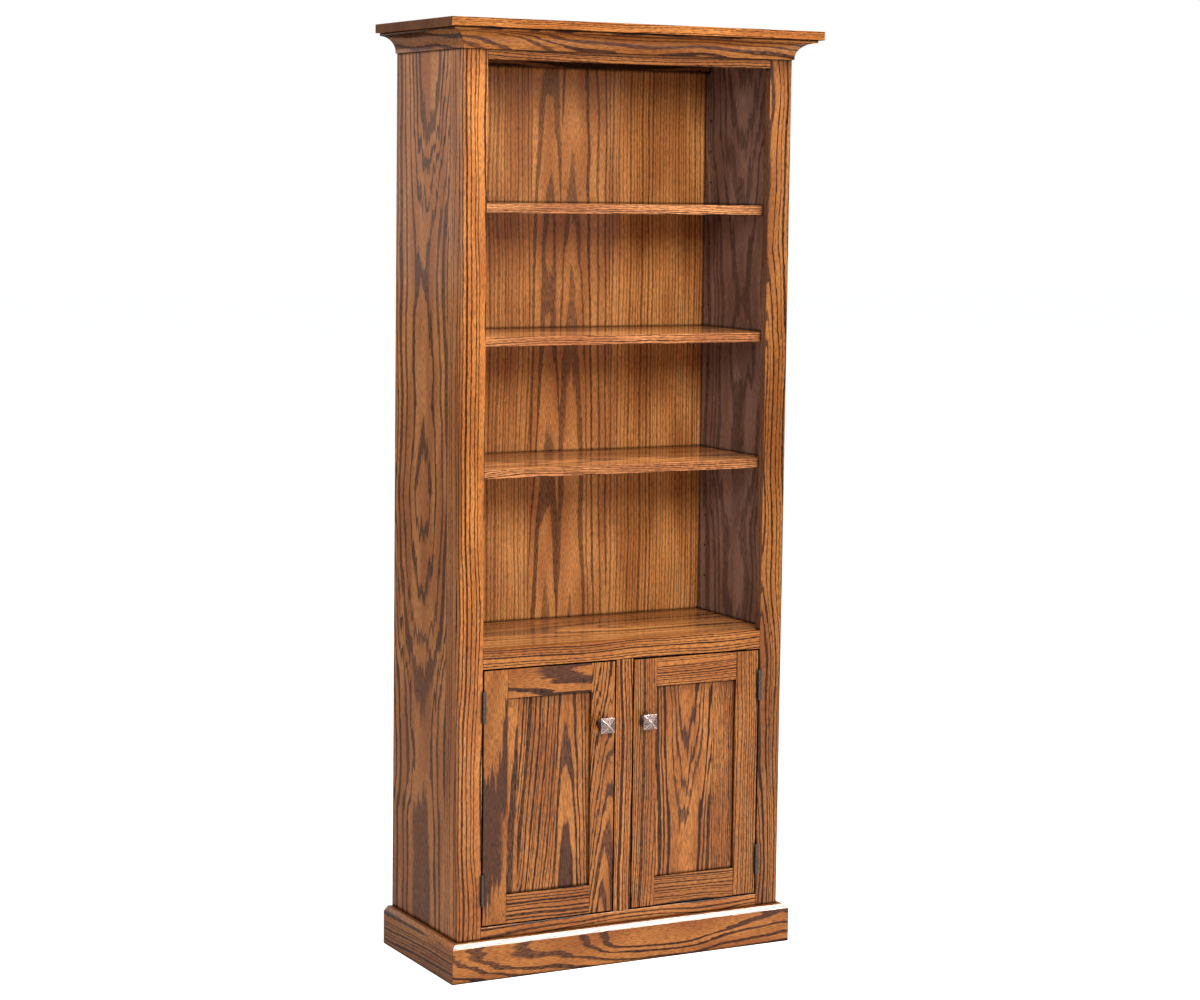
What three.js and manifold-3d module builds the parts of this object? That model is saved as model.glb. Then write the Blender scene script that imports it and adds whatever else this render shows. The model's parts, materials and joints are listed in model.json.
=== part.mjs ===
// Bookcase with cabinet doors: adjustable shelves above, a cupboard with two inset panel doors below.
// Millimetres, +Z up, +Y towards the wall. The origin is on the floor under the middle of the top board.
import * as THREE from "three";
import { mergeVertices } from "three/addons/utils/BufferGeometryUtils.js";
import Module from "manifold-3d";

const wasm = await Module();
wasm.setup();

// Overall sizes
const totalHeight = 1829;
const caseWidth = 712;
const caseDepth = 312;

// Gap at each glue line and seat, and how far a cutter runs past what it cuts
const seam = 0.25;
const overrun = 2;

// Top board and the cove moulding under it
const topThickness = 17;
const topOverhang = 46.5;
const crownHeight = 38;
const crownReach = 37.5;
const crownLip = 5;
const crownFootReach = 4;
const crownFoot = 3;
const coveSteps = 12;

// Base moulding, chamfered along its top edge
const baseHeight = 76;
const baseThickness = 19;
const baseChamfer = 9;

// Case boards
const sideThickness = 19;
const panelBoardThickness = 18;
const subTopThickness = 19;
const backThickness = 6;
const rabbetWidth = 10;
const housingDepth = 6;
const nailerHeight = 36;
const nailerThickness = 19;

// Face frame
const frameThickness = 19;
const stileWidth = 49;
const topRailHeight = 56.5;
const middleRailHeight = 37;
const bottomRailHeight = 63;
const bottomRailReveal = 23.5;
const mullionWidth = 37;
const cupboardOpening = 502.5;

// Adjustable shelves and their pins
const shelfThickness = 18;
const shelfEndPlay = 1.5;
const shelfFrontPlay = 2;
const shelfBackPlay = 2;
const pinPitch = 63;
const firstPinRise = 10.5;
const topPinDrop = 95;
const pinColumnInset = 25;
const pinHoleRadius = 2.5;
const pinHoleDepth = 10;
const pinHoleSides = 10;
const shelfRowShares = [0.3125, 0.5625, 0.8125];
const studLength = 8;
const collarRadius = 4;
const collarThickness = 1;
const paddleLength = 11;
const paddleWidth = 8;
const paddleThickness = 2.5;

// Doors: grooved frames round a flat floating panel
const doorThickness = 19;
const doorGap = 3.2;
const doorStileWidth = 50.5;
const doorRailHeight = 56;
const doorPanelThickness = 6;
const doorPanelSetback = 6.5;
const grooveDepth = 10;
const panelPlay = 1.5;

// Butt hinges, barrels proud of the face frame
const hingeHeight = 55;
const hingeInset = 70;
const barrelRadius = 3;
const barrelStandOff = 0.5;
const hingePinRadius = 1.4;
const hingePinPlay = 0.3;
const leafThickness = 1.1;
const leafDepth = 16;
const knuckleCount = 5;
const knuckleGap = 0.4;
const tipHeight = 3.5;
const tipRadius = 2.6;
const tipNeckRadius = 1.8;
const tipNeckShare = 0.3;
const tipRimShare = 0.75;
const tipCrownShare = 0.6;
const barrelSides = 16;

// Square pyramid knobs and the screws that hold them
const knobDrop = 122;
const knobSize = 30;
const knobBand = 3.5;
const knobPyramid = 8;
const knobNeckLength = 18;
const knobRoseRadius = 12.5;
const knobRoseHeight = 3;
const knobNeckRadius = 7;
const knobCollarRadius = 9.5;
const knobPyramidSides = 4;
const knobRoseRimShare = 0.5;
const knobWaistShare = 0.4;
const knobFlareShare = 0.75;
const knobSides = 20;
const screwRadius = 2;
const screwPlay = 0.3;
const screwHeadRadius = 4;
const screwHeadHeight = 2.4;
const screwGrip = 9;
const screwSides = 12;

// Double magnetic catch behind the centre post, and its strike plates
const catchHeight = 16;
const catchDepth = 12;
const catchHalfWidth = 38;
const catchPadHalfWidth = 16;
const catchDrop = 60;
const strikeWidth = 14;
const strikeHeight = 20;
const strikeThickness = 1.2;
const strikeInset = 4;

// Planes that the pieces share
const backY = (caseDepth + topOverhang) / 2;
const frontY = backY - caseDepth;
const frameBackY = frontY + frameThickness;
const innerBackY = backY - backThickness;
const caseHalf = caseWidth / 2;
const innerHalf = caseHalf - sideThickness;
const openingHalf = caseHalf - stileWidth;
const mullionHalf = mullionWidth / 2;
const topUnderZ = totalHeight - topThickness;
const subTopUnderZ = topUnderZ - subTopThickness;
const topRailUnderZ = topUnderZ - topRailHeight;
const cupboardFloorZ = baseHeight + bottomRailReveal;
const cupboardHeadZ = cupboardFloorZ + cupboardOpening;
const fixedShelfZ = cupboardHeadZ + middleRailHeight;
const nailerUnderZ = subTopUnderZ - nailerHeight;
const firstPinZ = fixedShelfZ + firstPinRise;
const pinSteps = Math.floor((nailerUnderZ - topPinDrop - firstPinZ) / pinPitch);
const pinColumnsY = [frameBackY + pinColumnInset, innerBackY - pinColumnInset];
const doorUnderZ = cupboardFloorZ + doorGap;
const doorTopZ = cupboardHeadZ - doorGap;
const catchZ = doorTopZ - catchDrop;

// Finishes
const oak = { color: 0xb26a30, roughness: 0.42, metalness: 0 };
const darkOak = { color: 0x6a4530, roughness: 0.5, metalness: 0 };
const gunmetal = { color: 0x4a4c50, roughness: 0.4, metalness: 0.9 };
const agedCopper = { color: 0x8d7264, roughness: 0.38, metalness: 0.9 };
const nickel = { color: 0xb9b6ae, roughness: 0.3, metalness: 1 };
const brownPlastic = { color: 0x4b3426, roughness: 0.55, metalness: 0 };

const bookcase = new THREE.Group();

function addMesh(name, geometry, finish, parent = bookcase) {
  const mesh = new THREE.Mesh(geometry, new THREE.MeshStandardMaterial(finish));
  mesh.name = name;
  parent.add(mesh);
  return mesh;
}

// A box between two values on each axis, given in either order
function block([xa, xb], [ya, yb], [za, zb]) {
  const box = new THREE.BoxGeometry(Math.abs(xb - xa), Math.abs(yb - ya), Math.abs(zb - za));
  return box.translate((xa + xb) / 2, (ya + yb) / 2, (za + zb) / 2);
}

function solidOf(geometry) {
  const bare = new THREE.BufferGeometry();
  const source = geometry.index ? geometry.toNonIndexed() : geometry;
  bare.setAttribute("position", source.getAttribute("position"));
  const merged = mergeVertices(bare);
  return new wasm.Manifold(
    new wasm.Mesh({
      numProp: 3,
      vertProperties: Float32Array.from(merged.attributes.position.array),
      triVerts: Uint32Array.from(merged.index.array),
    }),
  );
}

function geometryOf(solid) {
  const mesh = solid.getMesh();
  const geometry = new THREE.BufferGeometry();
  geometry.setAttribute("position", new THREE.BufferAttribute(mesh.vertProperties, mesh.numProp));
  geometry.setIndex(new THREE.BufferAttribute(mesh.triVerts, 1));
  geometry.computeVertexNormals();
  return geometry;
}

function joined(...geometries) {
  return geometryOf(geometries.map(solidOf).reduce((whole, next) => whole.add(next)));
}

function cut(geometry, ...cutters) {
  return geometryOf(cutters.map(solidOf).reduce((whole, next) => whole.subtract(next), solidOf(geometry)));
}

// A cylinder from one point, along an axis given as "x", "y" or "z"
function rod(radius, length, sides, axis, [x, y, z]) {
  const cylinder = new THREE.CylinderGeometry(radius, radius, length, sides);
  cylinder.translate(0, length / 2, 0);
  if (axis === "z") cylinder.rotateX(Math.PI / 2);
  if (axis === "x") cylinder.rotateZ(-Math.PI / 2);
  return cylinder.translate(x, y, z);
}

// A moulding profile is a list of [reach from the case, height]. Its ends follow the reach, which makes
// the mitre, and the mapping places each point from its reach, height and share of the length.
function moulding(profile, place) {
  const outline = new THREE.Shape(profile.map(([reach, height]) => new THREE.Vector2(reach, height)));
  const prism = new THREE.ExtrudeGeometry(outline, { depth: 1, bevelEnabled: false });
  const points = prism.getAttribute("position");
  for (let i = 0; i < points.count; i++) {
    points.setXYZ(i, ...place(points.getX(i), points.getY(i), points.getZ(i)));
  }
  prism.computeVertexNormals();
  return prism;
}

// One run of moulding along the front, and one along each side back to the wall
function addMouldings(name, profile, baseZ) {
  const front = moulding(profile, (reach, height, share) => {
    const end = caseHalf + reach;
    return [end - share * 2 * end, frontY - reach, baseZ + height];
  });
  addMesh(`${name}_front`, front, oak);
  for (const [label, side] of [["left", -1], ["right", 1]]) {
    const run = moulding(profile, (reach, height, share) => {
      const start = frontY - reach + 2 * seam;
      const along = side < 0 ? share : 1 - share;
      return [side * (caseHalf + reach), start + along * (backY - start), baseZ + height];
    });
    addMesh(`${name}_${label}`, run, oak);
  }
}

function addTop() {
  const half = caseHalf + topOverhang;
  addMesh("top_board", block([-half, half], [frontY - topOverhang, backY], [topUnderZ, totalHeight]), oak);

  const crownTop = crownHeight - seam;
  const coveTop = crownTop - crownLip;
  const coveRise = coveTop - crownFoot;
  const coveReach = crownReach - crownFootReach;
  const profile = [[seam, 0], [crownFootReach, 0]];
  for (let i = 0; i <= coveSteps; i++) {
    const angle = (i / coveSteps) * (Math.PI / 2);
    profile.push([
      crownReach - coveReach * Math.cos(angle),
      crownFoot + coveRise * Math.sin(angle),
    ]);
  }
  profile.push([crownReach, crownTop], [seam, crownTop]);
  addMouldings("crown", profile, topUnderZ - crownHeight);
}

function addBase() {
  const profile = [
    [seam, 0],
    [baseThickness, 0],
    [baseThickness, baseHeight - baseChamfer],
    [baseThickness - baseChamfer, baseHeight],
    [seam, baseHeight],
  ];
  addMouldings("base", profile, 0);
}

// Boards that run between the sides in housings: name, underside and thickness
const housedBoards = [
  ["sub_top", subTopUnderZ, subTopThickness],
  ["fixed_shelf", fixedShelfZ - panelBoardThickness, panelBoardThickness],
  ["cupboard_floor", cupboardFloorZ - panelBoardThickness, panelBoardThickness],
];

// A side has a rabbet for the back, a housing for each fixed board and two columns of pin holes
function addSide(name, side) {
  const rabbetY = innerBackY - seam;
  const caseFrontY = frameBackY + seam;
  const rabbetX = side * (innerHalf + rabbetWidth);
  const housingX = side * (innerHalf + housingDepth);
  const insideX = side * (innerHalf - overrun);
  const panel = block([side * innerHalf, side * caseHalf], [caseFrontY, backY], [0, topUnderZ - seam]);
  const cutters = [block([insideX, rabbetX], [rabbetY, backY + overrun], [-overrun, topUnderZ + overrun])];
  for (const [, underZ, thickness] of housedBoards) {
    const heights = [underZ - seam, Math.min(underZ + thickness + seam, topUnderZ)];
    cutters.push(block([insideX, housingX], [caseFrontY - overrun, innerBackY], heights));
  }
  for (const y of pinColumnsY) {
    for (let row = 0; row <= pinSteps; row++) {
      const start = side > 0 ? innerHalf - overrun : -innerHalf - pinHoleDepth;
      const at = [start, y, firstPinZ + row * pinPitch];
      cutters.push(rod(pinHoleRadius, pinHoleDepth + overrun, pinHoleSides, "x", at));
    }
  }
  addMesh(name, cut(panel, ...cutters), oak);
}

function addCase() {
  addSide("side_left", -1);
  addSide("side_right", 1);

  const housedHalf = innerHalf + housingDepth - seam;
  for (const [name, underZ, thickness] of housedBoards) {
    const topZ = Math.min(underZ + thickness, topUnderZ - seam);
    const depth = [frameBackY + seam, innerBackY - seam];
    addMesh(name, block([-housedHalf, housedHalf], depth, [underZ, topZ]), oak);
  }

  const backHalf = innerHalf + rabbetWidth - seam;
  const backHeights = [cupboardFloorZ - panelBoardThickness, topUnderZ - seam];
  addMesh("back_panel", block([-backHalf, backHalf], [innerBackY, backY], backHeights), oak);

  const nailerHalf = innerHalf - seam;
  const nailerDepth = [innerBackY - seam - nailerThickness, innerBackY - seam];
  const nailerHeights = [nailerUnderZ, subTopUnderZ - seam];
  addMesh("top_nailer", block([-nailerHalf, nailerHalf], nailerDepth, nailerHeights), darkOak);
}

function addFaceFrame() {
  const depth = [frontY, frameBackY];
  for (const [name, side] of [["stile_left", -1], ["stile_right", 1]]) {
    addMesh(name, block([side * openingHalf, side * caseHalf], depth, [0, topUnderZ - seam]), oak);
  }
  const railHalf = openingHalf - seam;
  const rails = [
    ["rail_top", topRailUnderZ, topUnderZ - seam],
    ["rail_middle", cupboardHeadZ, fixedShelfZ],
    ["rail_bottom", cupboardFloorZ - bottomRailHeight, cupboardFloorZ],
  ];
  for (const [name, underZ, topZ] of rails) {
    addMesh(name, block([-railHalf, railHalf], depth, [underZ, topZ]), oak);
  }
  const postHeights = [cupboardFloorZ + seam, cupboardHeadZ - seam];
  addMesh("centre_post", block([-mullionHalf, mullionHalf], depth, postHeights), oak);
}

// A spoon pin: a stud in the wall, a collar against it and a flat paddle that the shelf rests on
function shelfPin(side, y, z) {
  const studRadius = pinHoleRadius - seam;
  const wallX = innerHalf - seam;
  const span = (from, length) => (side > 0 ? from : -from - length);
  const studStart = wallX - collarThickness / 2;
  const studReach = innerHalf + studLength - studStart;
  const stud = rod(studRadius, studReach, pinHoleSides, "x", [span(studStart, studReach), y, z]);
  const collarX = span(wallX - collarThickness, collarThickness);
  const collar = rod(collarRadius, collarThickness, pinHoleSides, "x", [collarX, y, z]);
  const paddle = block(
    [side * (wallX - paddleLength), side * (wallX - collarThickness / 2)],
    [y - paddleWidth / 2, y + paddleWidth / 2],
    [z - paddleThickness, z],
  );
  return joined(stud, collar, paddle);
}

// Each shelf rests in the pin holes nearest to its share of the columns' height
function addShelves() {
  const shelfHalf = innerHalf - shelfEndPlay;
  const depth = [frameBackY + shelfFrontPlay, innerBackY - shelfBackPlay];
  shelfRowShares.forEach((share, index) => {
    const pinZ = firstPinZ + Math.round(share * pinSteps) * pinPitch;
    const heights = [pinZ + seam, pinZ + seam + shelfThickness];
    const level = ["lower", "middle", "upper"][index];
    addMesh(`shelf_${level}`, block([-shelfHalf, shelfHalf], depth, heights), oak);
    for (const [sideName, side] of [["left", -1], ["right", 1]]) {
      for (const [end, y] of [["front", pinColumnsY[0]], ["rear", pinColumnsY[1]]]) {
        addMesh(`shelf_pin_${level}_${sideName}_${end}`, shelfPin(side, y, pinZ), nickel);
      }
    }
  });
}

// The hinge axis of a door, and the faces of the door as seen from that axis
const axisX = openingHalf - doorGap / 2;
const axisY = frontY - barrelRadius - barrelStandOff;
const doorFrontY = frontY - axisY;
const doorBackY = doorFrontY + doorThickness;
const doorNearX = doorGap / 2;
const doorWidth = openingHalf - mullionHalf - 2 * doorGap;
const doorFarX = doorNearX + doorWidth;
const knobX = doorFarX - doorStileWidth / 2;
const knobZ = doorTopZ - knobDrop;
const grooveWidth = doorPanelThickness + 2 * seam;
const grooveFrontY = doorFrontY + doorPanelSetback;
const groove = [grooveFrontY, grooveFrontY + grooveWidth];
const leafFaceX = doorGap / 2 - seam;

// Half of a butt hinge: a leaf, its share of the knuckles and, on the frame's half, the pin and its tips
function hingeLeaf(towards, ownsPin) {
  const pitch = hingeHeight / knuckleCount;
  const plate = [towards * (leafFaceX - leafThickness), towards * leafFaceX];
  const parts = [block(plate, [doorFrontY, doorFrontY + leafDepth], [0, hingeHeight])];
  const sockets = [];
  for (let i = 0; i < knuckleCount; i++) {
    if ((i % 2 === 0) !== ownsPin) continue;
    const low = i * pitch + (i === 0 ? 0 : knuckleGap / 2);
    const high = (i + 1) * pitch - (i === knuckleCount - 1 ? 0 : knuckleGap / 2);
    parts.push(rod(barrelRadius, high - low, barrelSides, "z", [0, 0, low]));
    parts.push(block(plate, [0, doorFrontY + overrun], [low, high]));
  }
  if (ownsPin) {
    parts.push(rod(hingePinRadius, hingeHeight, barrelSides, "z", [0, 0, 0]));
    parts.push(hingeTip(1).translate(0, 0, hingeHeight), hingeTip(-1));
  } else {
    const socketRadius = hingePinRadius + hingePinPlay;
    sockets.push(rod(socketRadius, hingeHeight + 2 * overrun, barrelSides, "z", [0, 0, -overrun]));
  }
  return cut(joined(...parts), ...sockets);
}

// The button on a barrel's end: a short neck, then a rounded disc
function hingeTip(up) {
  const neckTop = tipHeight * tipNeckShare;
  const profile = [
    [0, -overrun],
    [tipNeckRadius, -overrun],
    [tipNeckRadius, neckTop],
    [tipRadius, neckTop],
    [tipRadius, tipHeight * tipRimShare],
    [tipRadius * tipCrownShare, tipHeight],
    [0, tipHeight],
  ].map(([radius, height]) => new THREE.Vector2(radius, height));
  const tip = new THREE.LatheGeometry(profile, barrelSides).rotateX(Math.PI / 2);
  return up > 0 ? tip : tip.rotateX(Math.PI);
}

// A door rail has a groove for the panel and a stub tenon at each end, which fills the stile's groove
function doorRail(towards, heights, grooveHeights) {
  const shoulders = [
    towards * (doorNearX + doorStileWidth + seam),
    towards * (doorFarX - doorStileWidth - seam),
  ];
  const tenonReach = grooveDepth - seam;
  const tenonEnds = [
    towards * (doorNearX + doorStileWidth - tenonReach),
    towards * (doorFarX - doorStileWidth + tenonReach),
  ];
  const tenonDepth = [groove[0] + seam, groove[1] - seam];
  const body = block(shoulders, [doorFrontY, doorBackY], heights);
  const tenon = block(tenonEnds, tenonDepth, heights);
  const slotEnds = [towards * doorNearX, towards * doorFarX];
  return cut(joined(body, tenon), block(slotEnds, groove, grooveHeights));
}

// A door stile is grooved along its inner edge, and the lock stile is bored for the knob's screw
function doorStile([outerX, innerX], isLock) {
  const inward = Math.sign(innerX - outerX);
  const slot = block(
    [innerX - inward * grooveDepth, innerX + inward * overrun],
    groove,
    [doorUnderZ - overrun, doorTopZ + overrun],
  );
  const cutters = [slot];
  if (isLock) {
    const centreX = (outerX + innerX) / 2;
    const at = [centreX, doorFrontY - overrun, knobZ];
    cutters.push(rod(screwRadius + screwPlay, doorThickness + 2 * overrun, screwSides, "y", at));
  }
  return cut(block([outerX, innerX], [doorFrontY, doorBackY], [doorUnderZ, doorTopZ]), ...cutters);
}

function doorPanel(towards) {
  const reach = grooveDepth - panelPlay;
  const width = [
    towards * (doorNearX + doorStileWidth - reach),
    towards * (doorFarX - doorStileWidth + reach),
  ];
  const heights = [doorUnderZ + doorRailHeight - reach, doorTopZ - doorRailHeight + reach];
  return block(width, [groove[0] + seam, groove[1] - seam], heights);
}

// A rose against the door, a waisted neck, a square band and a low pyramid, bored behind for the screw
function knob(x) {
  const neckProfile = [
    [0, 0],
    [knobRoseRadius, 0],
    [knobRoseRadius, knobRoseHeight * knobRoseRimShare],
    [(knobRoseRadius + knobNeckRadius) / 2, knobRoseHeight],
    [knobNeckRadius, knobNeckLength * knobWaistShare],
    [knobNeckRadius, knobNeckLength * knobFlareShare],
    [knobCollarRadius, knobNeckLength],
    [knobCollarRadius, knobNeckLength + knobBand / 2],
    [0, knobNeckLength + knobBand / 2],
  ].map(([radius, height]) => new THREE.Vector2(radius, height));
  const neck = new THREE.LatheGeometry(neckProfile, knobSides);
  const half = knobSize / 2;
  const band = block([-half, half], [knobNeckLength, knobNeckLength + knobBand], [-half, half]);
  const pyramid = new THREE.ConeGeometry(half * Math.SQRT2, knobPyramid, knobPyramidSides);
  pyramid.rotateY(Math.PI / knobPyramidSides).translate(0, knobNeckLength + knobBand + knobPyramid / 2, 0);
  const boreLength = screwGrip + screwPlay + overrun;
  const bore = rod(screwRadius + screwPlay, boreLength, screwSides, "y", [0, -overrun, 0]);
  const shape = cut(joined(neck, band, pyramid), bore);
  return shape.rotateX(Math.PI).translate(x, doorFrontY - seam, knobZ);
}

function knobScrew(x) {
  const headY = doorBackY + seam;
  const tipY = doorFrontY - seam - screwGrip;
  const shank = rod(screwRadius, headY - tipY, screwSides, "y", [x, tipY, knobZ]);
  const head = rod(screwHeadRadius, screwHeadHeight, screwSides, "y", [x, headY, knobZ]);
  return joined(shank, head);
}

function addDoor(sideName, side) {
  const towards = -side;
  const door = new THREE.Group();
  door.position.set(side * axisX, axisY, 0);
  bookcase.add(door);
  const add = (name, geometry, finish) => addMesh(`door_${sideName}_${name}`, geometry, finish, door);

  const hingeEdges = [towards * doorNearX, towards * (doorNearX + doorStileWidth)];
  const lockEdges = [towards * doorFarX, towards * (doorFarX - doorStileWidth)];
  add("hinge_stile", doorStile(hingeEdges, false), oak);
  add("lock_stile", doorStile(lockEdges, true), oak);
  const lowerTopZ = doorUnderZ + doorRailHeight;
  const upperUnderZ = doorTopZ - doorRailHeight;
  const lowerGroove = [lowerTopZ - grooveDepth, lowerTopZ + overrun];
  const upperGroove = [upperUnderZ - overrun, upperUnderZ + grooveDepth];
  add("rail_lower", doorRail(towards, [doorUnderZ, lowerTopZ], lowerGroove), oak);
  add("rail_upper", doorRail(towards, [upperUnderZ, doorTopZ], upperGroove), oak);
  add("panel", doorPanel(towards), oak);
  add("knob", knob(towards * knobX), agedCopper);
  add("knob_screw", knobScrew(towards * knobX), nickel);

  const hingeUnders = [
    ["lower", doorUnderZ + hingeInset - hingeHeight / 2],
    ["upper", doorTopZ - hingeInset - hingeHeight / 2],
  ];
  for (const [level, underZ] of hingeUnders) {
    add(`hinge_${level}_leaf`, hingeLeaf(towards, false).translate(0, 0, underZ), gunmetal);
    const fixedLeaf = hingeLeaf(-towards, true).translate(side * axisX, axisY, underZ);
    addMesh(`frame_${sideName}_hinge_${level}`, fixedLeaf, gunmetal);
  }

  const strikeFar = doorFarX - strikeInset;
  const strike = block(
    [towards * (strikeFar - strikeWidth), towards * strikeFar],
    [doorBackY + seam, doorBackY + seam + strikeThickness],
    [catchZ - strikeHeight / 2, catchZ + strikeHeight / 2],
  );
  add("strike", strike, nickel);
}

// One catch on the back of the centre post serves both doors, with a magnet behind each strike plate
function addCatch() {
  const heights = [catchZ - catchHeight / 2, catchZ + catchHeight / 2];
  const padFrontY = frameBackY + seam;
  const armFrontY = frameBackY + seam + strikeThickness + seam;
  const rearY = padFrontY + catchDepth;
  const pad = block([-catchPadHalfWidth, catchPadHalfWidth], [padFrontY, rearY], heights);
  const arms = block([-catchHalfWidth, catchHalfWidth], [armFrontY, rearY], heights);
  addMesh("magnetic_catch", joined(pad, arms), brownPlastic);
}

addTop();
addBase();
addCase();
addFaceFrame();
addShelves();
addDoor("left", -1);
addDoor("right", 1);
addCatch();

export default bookcase;
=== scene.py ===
"""Looks of the tall oak bookcase: boards with a grown oak figure, hardware, studio and camera."""

import json
import math
from functools import partial

import bmesh
import bpy
from mathutils import Matrix, Vector, noise


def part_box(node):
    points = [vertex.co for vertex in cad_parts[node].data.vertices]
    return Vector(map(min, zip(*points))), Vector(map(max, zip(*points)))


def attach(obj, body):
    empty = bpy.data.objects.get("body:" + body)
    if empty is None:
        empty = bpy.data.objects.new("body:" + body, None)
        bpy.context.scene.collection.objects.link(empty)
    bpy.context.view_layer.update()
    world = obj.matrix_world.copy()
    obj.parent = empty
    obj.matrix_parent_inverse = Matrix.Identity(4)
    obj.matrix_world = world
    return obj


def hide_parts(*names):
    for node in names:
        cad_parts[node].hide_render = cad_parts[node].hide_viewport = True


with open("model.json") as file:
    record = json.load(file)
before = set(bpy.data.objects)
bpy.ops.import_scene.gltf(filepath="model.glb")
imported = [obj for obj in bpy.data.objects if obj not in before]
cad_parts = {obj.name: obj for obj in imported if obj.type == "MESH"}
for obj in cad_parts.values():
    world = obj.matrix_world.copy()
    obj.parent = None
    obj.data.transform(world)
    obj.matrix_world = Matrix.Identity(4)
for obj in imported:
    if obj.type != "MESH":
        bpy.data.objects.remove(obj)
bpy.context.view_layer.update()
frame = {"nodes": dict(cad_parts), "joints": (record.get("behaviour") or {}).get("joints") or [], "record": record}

MM = 0.001

# Camera, fitted to the photograph's corners
CAMERA_TARGET = Vector((0.02411, 0.02925, 0.99286))
CAMERA_DISTANCE = 5.55644
CAMERA_YAW = math.radians(-27.74)
CAMERA_PITCH = math.radians(5.53)
CAMERA_ROLL = math.radians(0.73)
CAMERA_LENS_MM = 83.463
CAMERA_SENSOR_MM = 36.0
CAMERA_SHIFT_Y = -0.04

# Studio: each soft box's place, target (straight down if None), size, power in watts and beam in degrees
LAMPS = {
    "key": ((-0.8, -4.2, 2.8), (0.0, 0.0, 1.0), (1.4, 1.4), 138.0, 180.0),
    "top_front": ((0.0, -1.4, 3.5), (0.0, 0.0, 1.0), (1.4, 0.9), 40.0, 180.0),
    "side_fill": ((-3.0, 0.0, 2.9), (-0.36, 0.0, 1.6), (1.6, 1.6), 8.0, 66.0),
    "strip": ((1.69, -1.11, 3.2), None, (1.5, 0.3), 90.0, 180.0),
}
WORLD_LEVEL = 0.3
WORLD_COLOR = (0.9, 0.95, 1.0, 1.0)
WHITE = (1.0, 1.0, 1.0, 1.0)
FLOOR_HALF = 30.0
FLOOR_COLOR = (0.8, 0.8, 0.8, 1.0)
FLOOR_GLOW = 0.78

# Colours as written in sRGB
OAK_LIGHT = (216, 136, 68)
OAK_AMBER = (180, 104, 48)
OAK_BROWN = (106, 64, 44)
OAK_DARK = (70, 40, 25)
OAK_PORE = (34, 20, 14)
# Painted shade: the near-black that the oak goes to in gaps and corners
PAINTED_CREVICE_SHADE = (12, 8, 6)
OAK_END = (66, 46, 38)
GUNMETAL = (100, 103, 108)
NICKEL = (205, 202, 194)
COPPER_DARK = (62, 50, 47)
COPPER_BRIGHT = (226, 195, 185)
PLASTIC_DARK = (62, 43, 32)
PLASTIC_LIGHT = (80, 57, 42)

# Noises in the oak: scales per millimetre across the grain and along it, or along it alone, and roughness
SWELL_SCALES = (0.03, 0.007)
RAG_SCALES = (0.9, 0.06)
PORE_SCALES = (0.7, 0.08)
TONE_SCALES = (0.02, 0.0035)
FLAME_SCALE = 0.007
DRIFT_SCALE = 0.0021
DRIFT_ROUGHNESS = 0.35
RAG_ROUGHNESS = 0.6

# Growth: slope, lean and bow count in runs of 100 mm, and swell is in millimetres
RUN = 0.01
SWELL = 7.0
YEAR_SCALE = 0.45
YEAR_SHIFT = 1.6

# Shares of a year's ring: the least early wood, how much more it can be, its fading out and its onset
EARLY_LEAST = 0.18
EARLY_SPREAD = 0.24
EARLY_FADE = 0.14
EARLY_ONSET = 0.04

# Where each value goes over from none to all
STEEP_RANGE = (0.15, 0.6)
PORE_RANGE = (0.46, 0.56)
FLECK_RANGE = (0.45, 0.58)
TONE_RANGE = (0.35, 0.65)
END_RANGE = (0.75, 0.95)
# Painted shade in gaps and corners goes over by how little open sky the ambient occlusion finds
CREVICE_SHADE_RANGE = (0.52, 1.0)
WORN_RANGE = (0.2, 0.68)
WIDE_RANGE = (0.3, 0.7)

# How much stain each thing takes
FLECK_STAIN = 0.36
PORE_STAIN = 0.2
SOAK_LEAST = 0.5
SOAK_STEEP = 0.4
COVER_LEAST = 0.78
COVER_SPREAD = 0.24
COVER_PORE = 0.15
END_STAIN = 0.72

# Polish of the oak, and how deep its pores and flecks are
OAK_ROUGHNESS = 0.36
OAK_PORE_ROUGHNESS = 0.2
FLECK_DEPTH = -0.3
OAK_BUMP = 0.35
OAK_BUMP_DISTANCE = 0.15 * MM
COAT = 0.4
COAT_BUMP = 0.05
COAT_ROUGHNESS = 0.12

# Other finishes: roughness from one end of the mottle to the other, and bumps as strength and distance
METAL_SPREAD = (0.8, 1.25)
METAL_BUMP = (0.2, 0.05 * MM)
COPPER_ROUGHNESS = 0.44
COPPER_POLISH = -0.14
COPPER_BUMP = (0.5, 0.12 * MM)
PLASTIC_ROUGHNESS = (0.42, 0.6)
PLASTIC_BUMP = (0.4, 0.08 * MM)

# How near another surface must be for painted shade to darken the oak between the two
CREVICE = 6.0 * MM

# How far the arrises of boards and mouldings are eased
BOARD_EASE = 0.8 * MM
DOOR_EASE = 1.0 * MM

# Hardware, in millimetres, as in the CAD part that it replaces
WELD = 0.002
ROUND_SIDES = 32
SCREW_SIDES = 24
STUD_SIDES = 28
BARREL_SIDES = 40
NECK_SIDES = 48
KNUCKLES = 5
KNUCKLE_GAP = 0.4
KNUCKLE_RIM = 0.45
BARREL_RADIUS = 3.0
BORE_RADIUS = 1.7
PIN_RADIUS = 1.4
TIP_HEIGHT = 3.5
TIP_RADIUS = 2.6
TIP_NECK_RADIUS = 1.8
TIP_NECK_SHARE = 0.3
HINGE_HEIGHT = 55.0
LEAF_NEAR, LEAF_FAR = 0.25, 1.35
LEAF_START, LEAF_REACH = 3.5, 19.5
LEAF_CORNER = 2.5
HINGE_SCREW_RADIUS = 3.1
HINGE_SCREW_HEIGHTS = (9.0, 27.5, 46.0)
HINGE_SCREW_DEPTHS = (14.0, 10.0, 14.0)
RECESS_WIDTH = 0.9
RECESS_DEPTH = 0.45

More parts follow.
